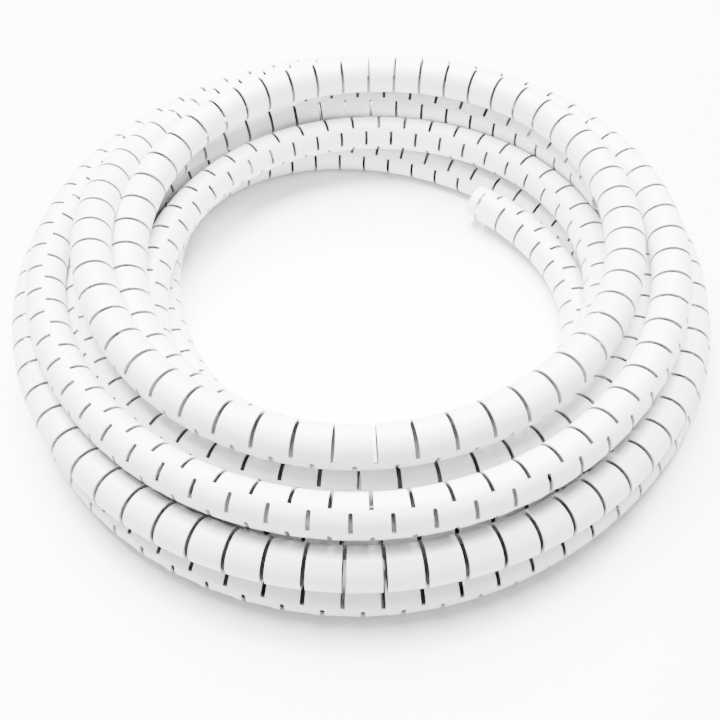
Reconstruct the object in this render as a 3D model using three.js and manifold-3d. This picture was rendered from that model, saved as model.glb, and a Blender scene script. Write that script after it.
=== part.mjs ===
// A slotted cable tidy tube, wound in a loose coil that lies flat on the floor.
// Millimetres, +Z up. The coil's axis is the Z axis and its underside is at z = 0.

import * as THREE from 'three';
import Module from 'manifold-3d';

// Driving sizes of the tube
const tubeDiameter = 25;
const wall = 1.2;
const tubeSides = 12;

// Driving sizes of the coil: the eye's radius, how much two turns press into each other where
// they lie side by side, and how far round a turn its groove with the next one starts
const eyeRadius = 137.5;
const turnPress = 0.4;
const grooveAngle = 24;
const ringSteps = 60;

// Places of the turns that show in the coil's section, counted in turn pitches: how far out
// from the innermost turn, and how high above the floor row. They go round the section, from
// the outer floor turn up the outside, over the top, down into the eye and back underneath.
const sectionTurns = [
  [3.05, 0.0],
  [3.0, 1.0],
  [2.18, 1.98],
  [1.27, 1.68],
  [0.86, 2.85],
  [0.46, 1.86],
  [0.05, 0.97],
  [0.0, 0.0],
  [1.02, 0.0],
  [2.03, 0.0],
];

// Driving sizes of the free end, which leaves the innermost floor turn and lies in the eye
const freeEndStart = -34;
const freeEndSweep = 84;
const freeEndInset = 20;
const freeEndSteps = 14;

// Driving sizes of the slots through the wall. Angles run round the tube from its inner side
// over its top.
const slotPitch = 20.8;
const slotWidth = 2.2;
const slotFromMouth = 8;
const slotRings = 6;
const longSlotArc = 288;
const shortSlotArc = 57;

// Driving sizes of the seam, a wave of flat crests and narrow troughs that splits the wall.
// The long slots open into its crests, and the short slots cross its troughs.
const seamAngle = 62;
const seamWidth = 0.4;
const seamDepth = 12;
const seamCrest = 13.3;
const seamSlope = 2;
const shortSlotDrop = 6;

const tubeRadius = tubeDiameter / 2;
const boreRadius = tubeRadius - wall;
const rad = THREE.MathUtils.degToRad;

// A flat of the many-sided tube lies on the floor, so its middle is this high
const flatHeight = tubeRadius * Math.cos(Math.PI / tubeSides);
const innerTurnRadius = eyeRadius + tubeRadius;
const turnPitch = tubeDiameter - turnPress;

function turnCentre(turn) {
  const [out, up] = turn;
  return new THREE.Vector2(innerTurnRadius + out * turnPitch, flatHeight + up * turnPitch);
}

// The outer arc of one turn, from the groove beside the turn before it to the groove after it
function turnArc(before, centre, after) {
  const step = 360 / tubeSides;
  const towards = (point) => THREE.MathUtils.radToDeg(point.clone().sub(centre).angle());
  const start = towards(before) + grooveAngle;
  let end = towards(after) - grooveAngle;
  while (end < start) {
    end += 360;
  }
  const angles = [start];
  const closest = step / 4;
  for (let angle = step / 2 + step * Math.floor(start / step); angle < end - closest; angle += step) {
    if (angle > start + closest) {
      angles.push(angle);
    }
  }
  angles.push(end);
  return angles.map((angle) => new THREE.Vector2(
    centre.x + tubeRadius * Math.cos(rad(angle)),
    centre.y + tubeRadius * Math.sin(rad(angle)),
  ));
}

// The section's outline: every turn's arc in order, closed on itself
function sectionOutline() {
  const centres = sectionTurns.map(turnCentre);
  const count = centres.length;
  const points = centres.flatMap((centre, index) => turnArc(
    centres[(index + count - 1) % count],
    centre,
    centres[(index + 1) % count],
  ));
  points.push(points[0].clone());
  return points;
}

// The wound turns, as one turned solid round the eye
function coilGeometry() {
  const geometry = new THREE.LatheGeometry(sectionOutline(), ringSteps);
  geometry.rotateX(Math.PI / 2);
  return geometry;
}

// The free end's middle line: it leaves the innermost turn and draws slowly in towards the eye
class FreeEndCurve extends THREE.Curve {
  constructor(from, to) {
    super();
    this.from = from;
    this.to = to;
  }

  getPoint(t) {
    const share = this.from + (this.to - this.from) * t;
    const angle = rad(freeEndStart + freeEndSweep * share);
    const radius = innerTurnRadius - freeEndInset * share * share * (3 - 2 * share);
    return new THREE.Vector3(radius * Math.cos(angle), radius * Math.sin(angle), flatHeight);
  }
}

function roundSection(radius) {
  const shape = new THREE.Shape();
  for (let side = 0; side < tubeSides; side += 1) {
    const angle = ((side + 0.5) / tubeSides) * 2 * Math.PI;
    const x = radius * Math.cos(angle);
    const y = radius * Math.sin(angle);
    if (side === 0) {
      shape.moveTo(x, y);
    } else {
      shape.lineTo(x, y);
    }
  }
  shape.closePath();
  return shape;
}

function sweep(shape, path, steps) {
  return new THREE.ExtrudeGeometry(shape, { steps, extrudePath: path, bevelEnabled: false });
}

// The free end's own directions at a place on its middle line: inwards to the eye, up and ahead
function frameAt(curve, along) {
  const middle = curve.getPointAt(along);
  const ahead = curve.getTangentAt(along);
  const up = new THREE.Vector3(0, 0, 1);
  const inward = new THREE.Vector3().crossVectors(up, ahead);
  return { middle, inward, up, ahead };
}

// A slot's cutter: a sector of a ring that reaches through the wall, as thick as the slot is wide
function slotCutter(curve, along, from, arc) {
  const { middle, inward, up, ahead } = frameAt(curve, along);
  const start = rad(from);
  const stop = rad(from + arc);
  const shape = new THREE.Shape();
  shape.absarc(0, 0, tubeRadius + wall, start, stop, false);
  shape.absarc(0, 0, boreRadius - wall, stop, start, true);
  shape.closePath();
  const slot = new THREE.ExtrudeGeometry(shape, {
    depth: slotWidth,
    bevelEnabled: false,
    curveSegments: 5,
  });
  slot.translate(0, 0, -slotWidth / 2);
  return slot.applyMatrix4(new THREE.Matrix4().makeBasis(inward, up, ahead).setPosition(middle));
}

// The slots of the free end, ring by ring from its mouth: a long one that opens into the seam and
// leaves a rib, and a short one half a pitch further on, in the spine that the ribs grow from
function slotCutters(curve) {
  const length = curve.getLength();
  const cutters = [];
  for (let ring = 0; ring < slotRings; ring += 1) {
    const straight = 1 - (slotFromMouth + ring * slotPitch) / length;
    const staggered = straight - slotPitch / 2 / length;
    cutters.push(slotCutter(curve, straight, seamAngle - longSlotArc, longSlotArc));
    cutters.push(slotCutter(curve, staggered, seamAngle + shortSlotDrop, shortSlotArc));
  }
  return cutters;
}

// The seam's corners as distances from the mouth and angles round the tube
function seamCorners() {
  const corners = [[-slotPitch / 2, seamAngle]];
  for (let ring = 0; ring < slotRings; ring += 1) {
    const crest = slotFromMouth + ring * slotPitch;
    corners.push(
      [crest - seamCrest / 2, seamAngle],
      [crest + seamCrest / 2, seamAngle],
      [crest + seamCrest / 2 + seamSlope, seamAngle + seamDepth],
      [crest + slotPitch - seamCrest / 2 - seamSlope, seamAngle + seamDepth],
    );
  }
  return corners;
}

// A point of the free end's skin at a distance from the mouth and an angle round the tube
function skinPoint(curve, distance, angle) {
  const along = THREE.MathUtils.clamp(1 - distance / curve.getLength(), 0, 1);
  const { middle, inward, up, ahead } = frameAt(curve, along);
  const radial = inward.multiplyScalar(Math.cos(rad(angle)));
  radial.addScaledVector(up, Math.sin(rad(angle)));
  const place = middle.addScaledVector(ahead, Math.max(-distance, 0));
  return { radial, place: place.addScaledVector(radial, tubeRadius) };
}

// The seam's cutters: a thin blade through the wall from each corner to the next
function seamCutters(curve) {
  const corners = seamCorners();
  return corners.slice(1).map(([distance, angle], index) => {
    const from = skinPoint(curve, ...corners[index]);
    const to = skinPoint(curve, distance, angle);
    const along = to.place.clone().sub(from.place);
    const blade = new THREE.BoxGeometry(along.length() + seamWidth, seamWidth, wall * 4);
    const radial = from.radial.clone().add(to.radial).normalize();
    const ahead = along.clone().normalize();
    const side = new THREE.Vector3().crossVectors(radial, ahead).normalize();
    radial.crossVectors(ahead, side);
    const middle = from.place.clone().add(to.place).multiplyScalar(0.5);
    const frame = new THREE.Matrix4().makeBasis(ahead, side, radial).setPosition(middle);
    return blade.applyMatrix4(frame);
  });
}

const wasm = await Module();
wasm.setup();
const { Manifold, Mesh } = wasm;

// A closed three.js geometry as a manifold solid
function solid(geometry) {
  const position = geometry.getAttribute('position');
  const index = geometry.getIndex();
  const count = index ? index.count : position.count;
  const places = [];
  const corners = [];
  const numbers = new Map();
  for (let corner = 0; corner < count; corner += 1) {
    const vertex = index ? index.getX(corner) : corner;
    const point = [position.getX(vertex), position.getY(vertex), position.getZ(vertex)];
    const key = point.map((value) => Math.round(value * 1e4)).join(' ');
    if (!numbers.has(key)) {
      numbers.set(key, numbers.size);
      places.push(...point);
    }
    corners.push(numbers.get(key));
  }
  const triangles = [];
  for (let face = 0; face < corners.length; face += 3) {
    const [a, b, c] = corners.slice(face, face + 3);
    if (a !== b && b !== c && c !== a) {
      triangles.push(a, b, c);
    }
  }
  const made = new Manifold(new Mesh({
    numProp: 3,
    vertProperties: new Float32Array(places),
    triVerts: new Uint32Array(triangles),
  }));
  if (made.volume() < 0) {
    throw new Error('a geometry faces inwards');
  }
  return made;
}

// The whole tube: the wound turns joined to the free end, which is open at its mouth
function tubeGeometry() {
  const route = new FreeEndCurve(0, 1);
  const beyond = new FreeEndCurve(0.3, 1.02);
  const skin = solid(sweep(roundSection(tubeRadius), route, freeEndSteps));
  const bore = solid(sweep(roundSection(boreRadius), beyond, freeEndSteps));
  let tube = solid(coilGeometry()).add(skin).subtract(bore);
  for (const cutter of [...slotCutters(route), ...seamCutters(route)]) {
    tube = tube.subtract(solid(cutter));
  }
  const mesh = tube.getMesh();
  const geometry = new THREE.BufferGeometry();
  const position = new Float32Array(mesh.vertProperties);
  geometry.setAttribute('position', new THREE.BufferAttribute(position, 3));
  geometry.setIndex(new THREE.BufferAttribute(new Uint32Array(mesh.triVerts), 1));
  geometry.computeVertexNormals();
  return geometry;
}

const whitePlastic = new THREE.MeshStandardMaterial({
  color: 0xf4f4f2,
  roughness: 0.42,
  metalness: 0,
});

const cableTube = new THREE.Mesh(tubeGeometry(), whitePlastic);
cableTube.name = 'cable_tube';

const part = new THREE.Group();
part.add(cableTube);

export default part;
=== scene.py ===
import math

import bpy
import numpy as np
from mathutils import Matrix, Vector
from mathutils.geometry import delaunay_2d_cdt


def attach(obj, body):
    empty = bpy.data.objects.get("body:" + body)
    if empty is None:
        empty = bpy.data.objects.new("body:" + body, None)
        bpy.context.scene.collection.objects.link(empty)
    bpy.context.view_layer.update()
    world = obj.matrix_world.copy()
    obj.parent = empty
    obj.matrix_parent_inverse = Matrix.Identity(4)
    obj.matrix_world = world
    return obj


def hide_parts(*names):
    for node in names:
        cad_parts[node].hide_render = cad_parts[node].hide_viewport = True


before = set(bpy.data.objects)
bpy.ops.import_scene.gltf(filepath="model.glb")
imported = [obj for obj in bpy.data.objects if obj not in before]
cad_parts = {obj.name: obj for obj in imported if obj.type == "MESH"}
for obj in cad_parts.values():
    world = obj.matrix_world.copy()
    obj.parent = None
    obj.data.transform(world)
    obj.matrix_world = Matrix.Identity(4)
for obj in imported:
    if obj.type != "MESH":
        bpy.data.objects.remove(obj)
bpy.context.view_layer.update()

MM = 0.001

# Sizes of the tube and its slots, in metres and degrees
TUBE_DIAMETER = 25 * MM
TUBE_RADIUS = TUBE_DIAMETER / 2
WALL = 1.2 * MM
SLOT_PITCH = 20.8 * MM
SLOT_WIDTH = 2.5 * MM
SLOT_FROM_MOUTH = 8 * MM
SLOT_IN_CELL = 6 * MM
LONG_SLOT_ARC = 288
SHORT_SLOT_ARC = 57
SHORT_SLOT_DROP = 6
SEAM_GAP = 0.55
SEAM_DEPTH = 12
SEAM_CREST = 13.3 * MM
SEAM_SLOPE = 2 * MM
OUTER_EDGE = 0.3 * MM
INNER_EDGE_HEIGHT = 0.15 * MM
INNER_EDGE_LENGTH = 0.18 * MM
EDGE_BOW = 0.3

# How finely the wall is made: the step between its rows in degrees, and how close two places
# of it may come
ROW_STEP = 12
CLOSEST_ROWS = 3
SAME_PLACE = 1e-7
MERGE_DISTANCE = 0.004 * MM

# The attribute that carries each point's direction away from the tube's middle line
OUTWARD = "outward"

# The camera, as the photograph's own view was measured in tube diameters
PHOTO_SIZE = 720
FOCAL_PIXELS = 960.2
SENSOR = 36
NEAREST = 0.01
FARTHEST = 50
CAMERA_TILT = 49.5
CAMERA_DISTANCE = 26.155 * TUBE_DIAMETER
CAMERA_AIM = Vector((-0.234, -1.914, 0)) * TUBE_DIAMETER

# The tube's route, turn by turn from the open end in the eye to the hidden end. Each turn has
# a place every eighth of a circle, clockwise from the back: how far from the coil's axis, and
# how high the tube's middle is, in millimetres.
TURNS = [
    [(135, 13), (130, 16), (144, 12.5), (148, 12.5), (138, 12.5), (137, 12.5), (144, 12.5), (170, 13)],
    [(161, 12.5), (155, 12.5), (169, 18), (169, 25.5), (163, 27), (156, 31.5), (147, 37), (146, 41)],
    [(154, 39), (159, 39.5), (158, 41), (155, 45.5), (158, 52.5), (160, 56.5), (159, 64.5), (164, 77.5)],
    [(169, 81), (174, 81), (165, 80), (167, 82), (177, 80.5), (177.5, 80.5), (179, 80.5), (193, 64)],
    [(195, 68.5), (200, 66.5), (196, 69), (199, 65), (210, 65), (209, 58.5), (212, 57.5), (215, 53)],
    [(224, 50), (221, 43.5), (214, 38.5), (217, 37.5), (226, 38), (227, 37.5), (225, 36.5), (234, 31.5)],
    [(233, 25), (229, 18.5), (224, 13), (217, 12.5), (227, 12.5), (226, 12.5), (220, 12.5), (217, 12.5)],
    [(211, 12.5), (202, 12.5), (196, 12.5), (191, 12.5), (187, 12.5), (187, 13.5), (190, 15.5), (194, 22)],
    [(190, 28), (187, 36.5), (184, 41), (180, 48), (183, 54.5), (188, 48), (190, 43), (182, 46)],
    [(172, 54), (176.5, 57), (174, 60.5)],
]
PLACES_PER_TURN = 8

# Where the route starts and ends, and the step between its points, in degrees round the coil
OPEN_END = 40
HIDDEN_END = 3312
ROUTE_STEP = 1.25

# Where the seam lies round the tube, at some places of the route in degrees from its start.
# The angle runs from the coil's outer side over the top towards its eye.
SEAM_PLACES = [
    (0, 60), (42, 95), (60, 113), (90, 118), (360, 150), (630, 180), (700, 199), (765, 203),
    (990, 290), (1215, 358), (1260, 367), (1350, 380), (1530, 390), (1620, 432), (1710, 465),
    (1980, 577), (2250, 690), (2340, 738), (2390, 760), (2700, 900), (3060, 1120), (3240, 1214),
    (3330, 1262),
]

# How far the tube is drawn along its route, at some places of it, in slot pitches
DRAWN_PLACES = [
    (OPEN_END, 0), (720, 0.4), (1080, 0.2), (1260, -0.2), (1620, -0.1), (1980, -0.04),
    (2340, -0.39), (3060, -0.11), (3240, -0.33),
]


# A smooth curve through places, found at more places between
def smooth_curve(places, values, wanted):
    places = np.asarray(places, float)
    values = np.asarray(values, float)
    gaps = np.diff(places)
    count = len(places)
    system = np.zeros((count, count))
    right = np.zeros(count)
    system[0, 0] = 1
    system[-1, -1] = 1
    slopes = np.diff(values) / gaps
    for i in range(1, count - 1):
        system[i, i - 1] = gaps[i - 1]
        system[i, i] = 2 * (gaps[i - 1] + gaps[i])
        system[i, i + 1] = gaps[i]
        right[i] = 6 * (slopes[i] - slopes[i - 1])
    bend = np.linalg.solve(system, right)
    wanted = np.asarray(wanted, float)
    k = np.clip(np.searchsorted(places, wanted) - 1, 0, count - 2)
    ahead = wanted - places[k]
    back = places[k + 1] - wanted
    gap = gaps[k]
    return (
        (bend[k] * back**3 + bend[k + 1] * ahead**3) / (6 * gap)
        + (values[k] / gap - bend[k] * gap / 6) * back
        + (values[k + 1] / gap - bend[k + 1] * gap / 6) * ahead
    )


# The route's points, the seam's angle and how far the tube is drawn along at each of them
def tube_route():
    places = [place for turn in TURNS for place in turn]
    turned = [i * 360 / PLACES_PER_TURN for i in range(len(places))]
    wanted = np.arange(OPEN_END, HIDDEN_END + ROUTE_STEP / 2, ROUTE_STEP)
    out = smooth_curve(turned, [place[0] * MM for place in places], wanted)
    high = smooth_curve(turned, [place[1] * MM for place in places], wanted)
    high = np.maximum(high, TUBE_RADIUS)
    azimuth = np.radians(90 - wanted)
    points = np.stack([out * np.cos(azimuth), out * np.sin(azimuth), high], axis=1)
    seam = smooth_curve(*zip(*SEAM_PLACES), wanted)
    drawn = np.interp(wanted, *zip(*DRAWN_PLACES)) * SLOT_PITCH
    return points, np.radians(seam), drawn - drawn[0]


route_points, seam_angles, drawn_along = tube_route()
route_length = float(np.linalg.norm(np.diff(route_points, axis=0), axis=1).sum())
tube_length = route_length - float(drawn_along[-1])
mouth_length = SLOT_FROM_MOUTH - SLOT_IN_CELL
cell_count = int((tube_length - 2 * mouth_length) / SLOT_PITCH)
tail_length = tube_length - mouth_length - cell_count * SLOT_PITCH


# The camera, level from side to side and looking down on the coil from the front
def set_camera():
    camera = bpy.data.cameras.new("camera")
    camera.sensor_width = SENSOR
    camera.lens = FOCAL_PIXELS / PHOTO_SIZE * SENSOR
    camera.clip_start = NEAREST
    camera.clip_end = FARTHEST
    holder = bpy.data.objects.new("camera", camera)
    bpy.context.scene.collection.objects.link(holder)
    tilt = math.radians(CAMERA_TILT)
    holder.location = CAMERA_AIM + CAMERA_DISTANCE * Vector((0, -math.cos(tilt), math.sin(tilt)))
    holder.rotation_euler = (math.pi / 2 - tilt, 0, 0)
    bpy.context.scene.camera = holder


set_camera()


# The route as a curve of straight steps. Its tilt carries the seam's angle, and its radius how
# far the tube is drawn along.
def route_curve():
    data = bpy.data.curves.new("route", "CURVE")
    data.dimensions = "3D"
    spline = data.splines.new("POLY")
    spline.points.add(len(route_points) - 1)
    for i, point in enumerate(spline.points):
        point.co = (*route_points[i], 1)
        point.tilt = seam_angles[i]
        point.radius = drawn_along[i] + 1
    return bpy.data.objects.new("route", data)


# A line of rows from one angle to another, at the rows' own angles in between. A row that falls
# close to either end is left out.
def row_angles(start, stop):
    way = 1 if stop > start else -1
    step = ROW_STEP * way
    angles = [start]
    angle = (math.floor(start / step) + 1) * step
    while (stop - angle) * way > CLOSEST_ROWS:
        if abs(angle - start) > CLOSEST_ROWS:
            angles.append(angle)
        angle += step
    return angles + [stop]


# One side of a slot, as points along the tube and round it
def slot_side(along, start, stop):
    return [(along, angle) for angle in row_angles(start, stop)]


# Worked-out places in a cell. A slot's round end is a flat as wide as a share of the slot, which
# stands a share of the end's full round past the slot's straight sides.
DEGREE = math.pi * TUBE_RADIUS / 180
HALF_SLOT = SLOT_WIDTH / 2
ROUND_DEGREES = HALF_SLOT / DEGREE
END_FLAT = HALF_SLOT * 0.6
END_REACH = ROUND_DEGREES * 0.8
LONG_SLOT = SLOT_IN_CELL
SHORT_SLOT = SLOT_IN_CELL + SLOT_PITCH / 2
CREST_END = LONG_SLOT + SEAM_CREST / 2
NEXT_CREST = LONG_SLOT + SLOT_PITCH - SEAM_CREST / 2


# The seam's lower lip, from one end of the cell to the other, with the long slot open into it
def lower_lip():
    tip = LONG_SLOT_ARC - ROUND_DEGREES
    short_end = -SHORT_SLOT_DROP - ROUND_DEGREES + END_REACH
    return [
        (0, 0),
        *slot_side(LONG_SLOT - HALF_SLOT, 0, tip),
        (LONG_SLOT - END_FLAT, tip + END_REACH),
        (LONG_SLOT + END_FLAT, tip + END_REACH),
        *slot_side(LONG_SLOT + HALF_SLOT, tip, 0),
        (CREST_END, 0),
        (CREST_END + SEAM_SLOPE, -SEAM_DEPTH),
        (SHORT_SLOT - HALF_SLOT, -SEAM_DEPTH),
        (SHORT_SLOT - END_FLAT, short_end),
        (SHORT_SLOT + END_FLAT, short_end),
        (SHORT_SLOT + HALF_SLOT, -SEAM_DEPTH),
        (NEXT_CREST - SEAM_SLOPE, -SEAM_DEPTH),
        (NEXT_CREST, 0),
        (SLOT_PITCH, 0),
    ]


# The seam's upper lip, back again, with the short slot open into its trough
def upper_lip():
    around = 360 - SEAM_GAP
    bottom = around - SEAM_DEPTH
    square_end = 360 - SHORT_SLOT_DROP - SHORT_SLOT_ARC
    return [
        (SLOT_PITCH, around),
        (NEXT_CREST, around),
        (NEXT_CREST - SEAM_SLOPE, bottom),
        *slot_side(SHORT_SLOT + HALF_SLOT, bottom, square_end),
        *slot_side(SHORT_SLOT - HALF_SLOT, square_end, bottom),
        (CREST_END + SEAM_SLOPE, bottom),
        (CREST_END, around),
        (0, around),
    ]


# Places in the cell laid out flat, as far round as along
def flat(points):
    return [Vector((along, angle * DEGREE)) for along, angle in points]


# Whether a point lies inside an outline, by how many of its sides a level line meets
def inside(point, outline):
    odd = False
    for a, b in zip(outline, outline[1:] + outline[:1]):
        if (a.y > point.y) != (b.y > point.y):
            if point.x < a.x + (point.y - a.y) / (b.y - a.y) * (b.x - a.x):
                odd = not odd
    return odd


# The rows of points down one end of the cell, between the two lips
def end_rows(along):
    stop = 360 - SEAM_GAP
    return flat([(along, angle) for angle in row_angles(0, stop)[1:-1]])


# One pitch of the wall laid out flat: its points and triangles, and the two lips that bound it
def flat_cell():
    lower = flat(lower_lip())
    upper = flat(upper_lip())
    outline = lower + end_rows(SLOT_PITCH) + upper + end_rows(0)[::-1]
    edges = [(i, (i + 1) % len(outline)) for i in range(len(outline))]
    places, _, faces, *_ = delaunay_2d_cdt(outline, edges, [], 0, SAME_PLACE)
    kept = []
    for face in faces:
        middle = sum((places[i] for i in face), Vector((0, 0))) / len(face)
        if inside(middle, outline):
            kept.append(tuple(face))
    return places, kept, (lower, upper)


# A mesh with x along the tube, y the angle from the seam and z the height over the outer skin
def cell_mesh(name, places, faces):
    mesh = bpy.data.meshes.new(name)
    mesh.from_pydata(places, [], faces)
    mesh.validate()
    return mesh


# The outer side of the wall
def skin_cell():
    places, faces, _ = flat_cell()
    points = [(place.x, place.y / TUBE_RADIUS, 0) for place in places]
    return cell_mesh("skin_cell", points, [face[::-1] for face in faces])


# The inner side of the wall, with the walls of the slots and the seam
def lining_cell():
    places, faces, lips = flat_cell()
    points = [(place.x, place.y / TUBE_RADIUS, -WALL) for place in places]
    for lip in lips:
        start = len(points)
        points += [(place.x, place.y / TUBE_RADIUS, 0) for place in lip]
        points += [(place.x, place.y / TUBE_RADIUS, -WALL) for place in lip]
        count = len(lip)
        for i in range(start, start + count - 1):
            faces.append((i, i + count, i + count + 1, i + 1))
    return cell_mesh("lining_cell", points, faces)


# A plain stretch with the seam, whose far side is the tube's cut end. The end's outer edge is
# rounded and its inner edge is broken.
def end_cell(name, mouth, joint):
    angles = row_angles(0, 360 - SEAM_GAP)
    outward = 1 if joint > mouth else -1
    rounding = OUTER_EDGE * outward
    profile = [
        (joint, 0),
        (mouth + rounding, 0),
        (mouth + rounding * EDGE_BOW, -OUTER_EDGE * EDGE_BOW),
        (mouth, -OUTER_EDGE),
        (mouth, -WALL + INNER_EDGE_HEIGHT),
        (mouth + INNER_EDGE_LENGTH * outward, -WALL),
        (joint, -WALL),
    ]
    points = [(x, math.radians(angle), z) for angle in angles for x, z in profile]
    wide = len(profile)
    faces = []
    for i in range(len(angles) - 1):
        for j in range(wide - 1):
            a = i * wide + j
            face = (a, a + 1, a + wide + 1, a + wide)
            faces.append(face if outward < 0 else face[::-1])
    for i, flip in ((0, outward > 0), (len(angles) - 1, outward < 0)):
        face = tuple(i * wide + j for j in range(wide))
        faces.append(face[::-1] if flip else face)
    return cell_mesh(name, points, [face[::-1] for face in faces])


# A socket of a node tree's outside
def add_input(tree, name, kind, value=None):
    socket = tree.interface.new_socket(name=name, in_out="INPUT", socket_type=kind)
    if value is not None:
        socket.default_value = value
    return socket


# The tree that sets cells in a row, bends the row round and wraps it along the route
def wrap_tree():
    tree = bpy.data.node_groups.new("wrap_on_route", "GeometryNodeTree")
    tree.is_modifier = True
    add_input(tree, "Cell", "NodeSocketGeometry")
    add_input(tree, "Route", "NodeSocketObject")
    add_input(tree, "Count", "NodeSocketInt", 1)
    add_input(tree, "Pitch", "NodeSocketFloat", SLOT_PITCH)
    add_input(tree, "Start", "NodeSocketFloat", 0.0)
    add_input(tree, "Radius", "NodeSocketFloat", TUBE_RADIUS)
    add_input(tree, "Material", "NodeSocketMaterial")
    tree.interface.new_socket(name="Tube", in_out="OUTPUT", socket_type="NodeSocketGeometry")
    nodes = tree.nodes
    join = tree.links.new

    def node(kind, **settings):
        made = nodes.new(kind)
        for key, value in settings.items():
            setattr(made, key, value)
        return made

    def maths(operation, first, second=None):
        made = node("ShaderNodeMath", operation=operation)
        for socket, value in zip(made.inputs, (first, second)):
            if value is None:
                continue
            if isinstance(value, (int, float)):
                socket.default_value = value
            else:
                join(value, socket)
        return made.outputs[0]

    def vectors(operation, first, second=None, scale=None):
        made = node("ShaderNodeVectorMath", operation=operation)
        for socket, value in zip(made.inputs, (first, second)):
            if value is None:
                continue
            if isinstance(value, tuple):
                socket.default_value = value
            else:
                join(value, socket)
        if scale is not None:
            join(scale, made.inputs["Scale"])
        return made.outputs[0]

    given = node("NodeGroupInput")
    line = node("GeometryNodeMeshLine", mode="OFFSET")
    join(given.outputs["Count"], line.inputs["Count"])
    start = node("ShaderNodeCombineXYZ")
    join(given.outputs["Start"], start.inputs["X"])
    join(start.outputs[0], line.inputs["Start Location"])
    step = node("ShaderNodeCombineXYZ")
    join(given.outputs["Pitch"], step.inputs["X"])
    join(step.outputs[0], line.inputs["Offset"])
    placed = node("GeometryNodeInstanceOnPoints")
    join(line.outputs["Mesh"], placed.inputs["Points"])
    join(given.outputs["Cell"], placed.inputs["Instance"])
    real = node("GeometryNodeRealizeInstances")
    join(placed.outputs["Instances"], real.inputs[0])
    merged = node("GeometryNodeMergeByDistance")
    join(real.outputs[0], merged.inputs["Geometry"])
    merged.inputs["Distance"].default_value = MERGE_DISTANCE

    place = node("ShaderNodeSeparateXYZ")
    join(node("GeometryNodeInputPosition").outputs[0], place.inputs[0])
    along, around, height = place.outputs

    route = node("GeometryNodeObjectInfo", transform_space="ORIGINAL")
    join(given.outputs["Route"], route.inputs["Object"])

    def sampled(field, length):
        made = node("GeometryNodeSampleCurve", mode="LENGTH", data_type="FLOAT")
        join(route.outputs["Geometry"], made.inputs["Curves"])
        join(field, made.inputs[1])
        join(length, made.inputs["Length"])
        return made

    drawn = sampled(node("GeometryNodeInputRadius").outputs[0], along).outputs[0]
    reached = maths("ADD", along, maths("SUBTRACT", drawn, 1.0))
    sample = sampled(node("GeometryNodeInputCurveTilt").outputs[0], reached)
    seam = sample.outputs[0]
    middle = sample.outputs["Position"]
    tangent = sample.outputs["Tangent"]

    outward = vectors("NORMALIZE", vectors("CROSS_PRODUCT", (0, 0, 1), tangent))
    up = vectors("CROSS_PRODUCT", tangent, outward)
    angle = maths("ADD", seam, around)
    radius = maths("ADD", given.outputs["Radius"], height)
    aside = vectors("SCALE", outward, scale=maths("MULTIPLY", maths("COSINE", angle), radius))
    above = vectors("SCALE", up, scale=maths("MULTIPLY", maths("SINE", angle), radius))
    across = vectors("ADD", aside, above)
    target = vectors("ADD", middle, across)
    noted = node("GeometryNodeStoreNamedAttribute", data_type="FLOAT_VECTOR", domain="POINT")
    noted.inputs["Name"].default_value = OUTWARD
    join(merged.outputs[0], noted.inputs["Geometry"])
    join(vectors("NORMALIZE", across), noted.inputs["Value"])
    wrapped = node("GeometryNodeSetPosition")
    join(noted.outputs[0], wrapped.inputs["Geometry"])
    join(target, wrapped.inputs["Position"])
    smooth = node("GeometryNodeSetShadeSmooth")
    join(wrapped.outputs[0], smooth.inputs["Geometry"])
    coloured = node("GeometryNodeSetMaterial")
    join(smooth.outputs[0], coloured.inputs["Geometry"])
    join(given.outputs["Material"], coloured.inputs["Material"])
    join(coloured.outputs[0], node("NodeGroupOutput").inputs[0])
    return tree


# A value for one of the tree's named inputs
def set_input(modifier, tree, name, value):
    for item in tree.interface.items_tree:
        if item.item_type == "SOCKET" and item.in_out == "INPUT" and item.name == name:
            modifier[item.identifier] = value


# A finished piece: the cells wrapped on the route, kept as a plain mesh. A round one is shaded
# as the tube's true round skin, right up to the lips of its slots and seam.
def wrapped_piece(name, cell, tree, route, material, count, start, is_round=False):
    maker = bpy.data.objects.new(name + "_maker", cell)
    scene = bpy.context.scene.collection
    scene.objects.link(maker)
    modifier = maker.modifiers.new("wrap", "NODES")
    modifier.node_group = tree
    values = {
        "Route": route, "Count": count, "Pitch": SLOT_PITCH, "Start": start,
        "Radius": TUBE_RADIUS, "Material": material,
    }
    for key, value in values.items():
        set_input(modifier, tree, key, value)
    bpy.context.view_layer.update()
    shaped = maker.evaluated_get(bpy.context.evaluated_depsgraph_get())
    mesh = bpy.data.meshes.new_from_object(shaped)
    mesh.name = name
    outward = mesh.attributes[OUTWARD]
    if is_round:
        mesh.normals_split_custom_set_from_vertices([item.vector[:] for item in outward.data])
    mesh.attributes.remove(mesh.attributes[OUTWARD])
    bpy.data.objects.remove(maker)
    piece = bpy.data.objects.new(name, mesh)
    scene.objects.link(piece)
    return piece


# The moulded plastic's looks. The scales are in repeats a metre, and the shades multiply the tint
# of the skin and of the inner side. The inner side's much darker shade is painted shade for the dim inside
# of the tube seen through the slots.
CLOUD_SCALE = 45
CLOUD_DETAIL = 3
GRAIN_SCALE = 900
GRAIN_DETAIL = 2
NOISE_RANGE = (0.3, 0.7)
DARKER_TINT = (0.9, 0.902, 0.905, 1)
LIGHTER_TINT = (0.94, 0.94, 0.938, 1)
GLOSS_RANGE = (0.3, 0.4)
GRAIN_STRENGTH = 0.12
GRAIN_HEIGHT = 0.15 * MM
PLASTIC_IOR = 1.5
SKIN_SHADE = 0.84
# Painted shade: the inner side of the same white plastic darkened to stand in for the shade inside the
# tube
LINING_PAINTED_SHADE = 0.34


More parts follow.
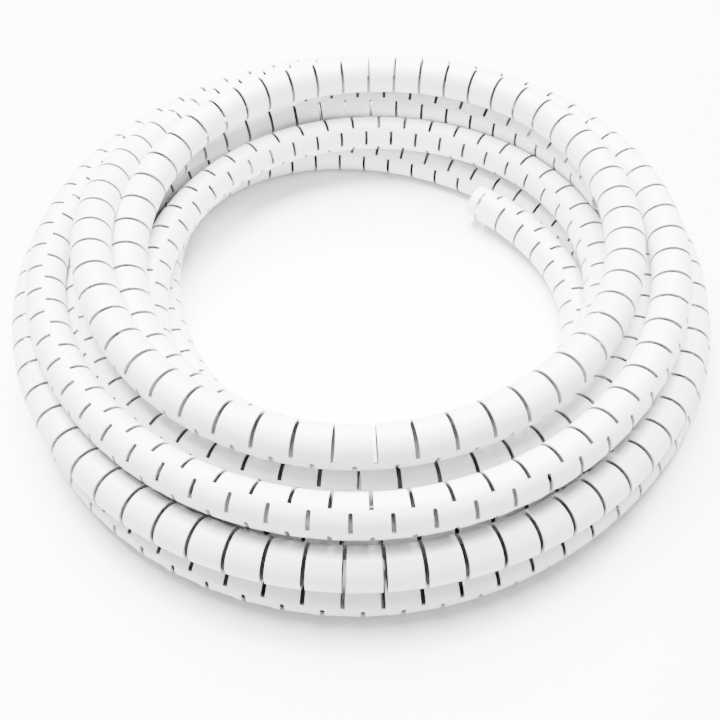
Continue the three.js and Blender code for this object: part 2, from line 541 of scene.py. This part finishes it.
# The moulded plastic: soft clouding in colour and gloss, and a fine grain
def moulding_group():
    group = bpy.data.node_groups.new("moulding", "ShaderNodeTree")
    group.interface.new_socket(name="Vector", in_out="INPUT", socket_type="NodeSocketVector")
    for name, kind in (("Tint", "NodeSocketColor"), ("Roughness", "NodeSocketFloat"),
                       ("Height", "NodeSocketFloat")):
        group.interface.new_socket(name=name, in_out="OUTPUT", socket_type=kind)
    nodes = group.nodes
    join = group.links.new
    given = nodes.new("NodeGroupInput")
    made = nodes.new("NodeGroupOutput")

    def noise(scale, detail):
        texture = nodes.new("ShaderNodeTexNoise")
        texture.inputs["Scale"].default_value = scale
        texture.inputs["Detail"].default_value = detail
        join(given.outputs["Vector"], texture.inputs["Vector"])
        return texture.outputs["Fac"]

    def ranged(value, low, high):
        mapped = nodes.new("ShaderNodeMapRange")
        mapped.inputs["From Min"].default_value = NOISE_RANGE[0]
        mapped.inputs["From Max"].default_value = NOISE_RANGE[1]
        mapped.inputs["To Min"].default_value = low
        mapped.inputs["To Max"].default_value = high
        join(value, mapped.inputs["Value"])
        return mapped.outputs["Result"]

    cloud = noise(CLOUD_SCALE, CLOUD_DETAIL)
    grain = noise(GRAIN_SCALE, GRAIN_DETAIL)
    tint = nodes.new("ShaderNodeMix")
    tint.data_type = "RGBA"
    tint.inputs["A"].default_value = DARKER_TINT
    tint.inputs["B"].default_value = LIGHTER_TINT
    join(ranged(cloud, 0, 1), tint.inputs["Factor"])
    join(tint.outputs["Result"], made.inputs["Tint"])
    join(ranged(cloud, *GLOSS_RANGE), made.inputs["Roughness"])
    join(grain, made.inputs["Height"])
    return group


# The plastic, at one shade of the moulding's tint. The inner side's darker copy is painted shade.
def plastic_material(name, group, shade):
    material = bpy.data.materials.new(name)
    material.use_nodes = True
    nodes = material.node_tree.nodes
    join = material.node_tree.links.new
    shader = nodes["Principled BSDF"]
    place = nodes.new("ShaderNodeTexCoord")
    moulding = nodes.new("ShaderNodeGroup")
    moulding.node_tree = group
    join(place.outputs["Object"], moulding.inputs["Vector"])
    shaded = nodes.new("ShaderNodeMix")
    shaded.data_type = "RGBA"
    shaded.blend_type = "MULTIPLY"
    shaded.inputs["Factor"].default_value = 1
    shaded.inputs["B"].default_value = (shade, shade, shade, 1)
    join(moulding.outputs["Tint"], shaded.inputs["A"])
    join(shaded.outputs["Result"], shader.inputs["Base Color"])
    join(moulding.outputs["Roughness"], shader.inputs["Roughness"])
    bump = nodes.new("ShaderNodeBump")
    bump.inputs["Strength"].default_value = GRAIN_STRENGTH
    bump.inputs["Distance"].default_value = GRAIN_HEIGHT
    join(moulding.outputs["Height"], bump.inputs["Height"])
    join(bump.outputs["Normal"], shader.inputs["Normal"])
    shader.inputs["IOR"].default_value = PLASTIC_IOR
    return material


moulding = moulding_group()
plastic = plastic_material("white_plastic", moulding, SKIN_SHADE)
# The inner side is the same white plastic, darkened as painted shade for the shade inside the tube and its
# slots
painted_shade_plastic = plastic_material("painted_shade_plastic", moulding, LINING_PAINTED_SHADE)
route = route_curve()
wrap = wrap_tree()
skin = wrapped_piece(
    "tube_skin", skin_cell(), wrap, route, plastic, cell_count, mouth_length, is_round=True)
lining = wrapped_piece(
    "tube_lining", lining_cell(), wrap, route, painted_shade_plastic, cell_count, mouth_length)
mouth = wrapped_piece(
    "tube_mouth", end_cell("mouth_cell", -mouth_length, 0), wrap, route, plastic, 1, mouth_length)
tail = wrapped_piece(
    "tube_tail", end_cell("tail_cell", tail_length, 0), wrap, route, plastic, 1,
    tube_length - tail_length)
bpy.data.objects.remove(route)

others = [lining, mouth, tail]
for piece in (skin, *others):
    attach(piece, "root")
    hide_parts("cable_tube")


# The floor and the lights, in metres and watts
FLOOR_REACH = 6
FLOOR_COLOUR = (0.95, 0.95, 0.95, 1)
FLOOR_ROUGHNESS = 0.22
STUDIO_LIGHT = 0.6
KEY_PLACE = (-0.15, 0.8, 1.9)
KEY_SIZE = 2.2
KEY_POWER = 720
FILL_PLACE = (0.9, -0.9, 1.4)
FILL_SIZE = 1.4
FILL_POWER = 5


# A pale floor with a soft sheen
def set_floor():
    mesh = bpy.data.meshes.new("floor")
    reach = FLOOR_REACH
    corners = [(-reach, -reach, 0), (reach, -reach, 0), (reach, reach, 0), (-reach, reach, 0)]
    mesh.from_pydata(corners, [], [(0, 1, 2, 3)])
    floor = bpy.data.objects.new("floor", mesh)
    bpy.context.scene.collection.objects.link(floor)
    material = bpy.data.materials.new("floor")
    material.use_nodes = True
    shader = material.node_tree.nodes["Principled BSDF"]
    shader.inputs["Base Color"].default_value = FLOOR_COLOUR
    shader.inputs["Roughness"].default_value = FLOOR_ROUGHNESS
    mesh.materials.append(material)


# A round soft light that faces the coil
def soft_light(name, place, size, power):
    light = bpy.data.lights.new(name, "AREA")
    light.shape = "DISK"
    light.size = size
    light.energy = power
    holder = bpy.data.objects.new(name, light)
    holder.location = place
    holder.rotation_euler = (-Vector(place)).to_track_quat("-Z", "Y").to_euler()
    bpy.context.scene.collection.objects.link(holder)


# The studio's even light, from all round
def set_world():
    world = bpy.data.worlds.new("studio")
    world.use_nodes = True
    background = world.node_tree.nodes["Background"]
    background.inputs["Color"].default_value = (1, 1, 1, 1)
    background.inputs["Strength"].default_value = STUDIO_LIGHT
    bpy.context.scene.world = world


set_floor()
set_world()
soft_light("key", KEY_PLACE, KEY_SIZE, KEY_POWER)
soft_light("fill", FILL_PLACE, FILL_SIZE, FILL_POWER)
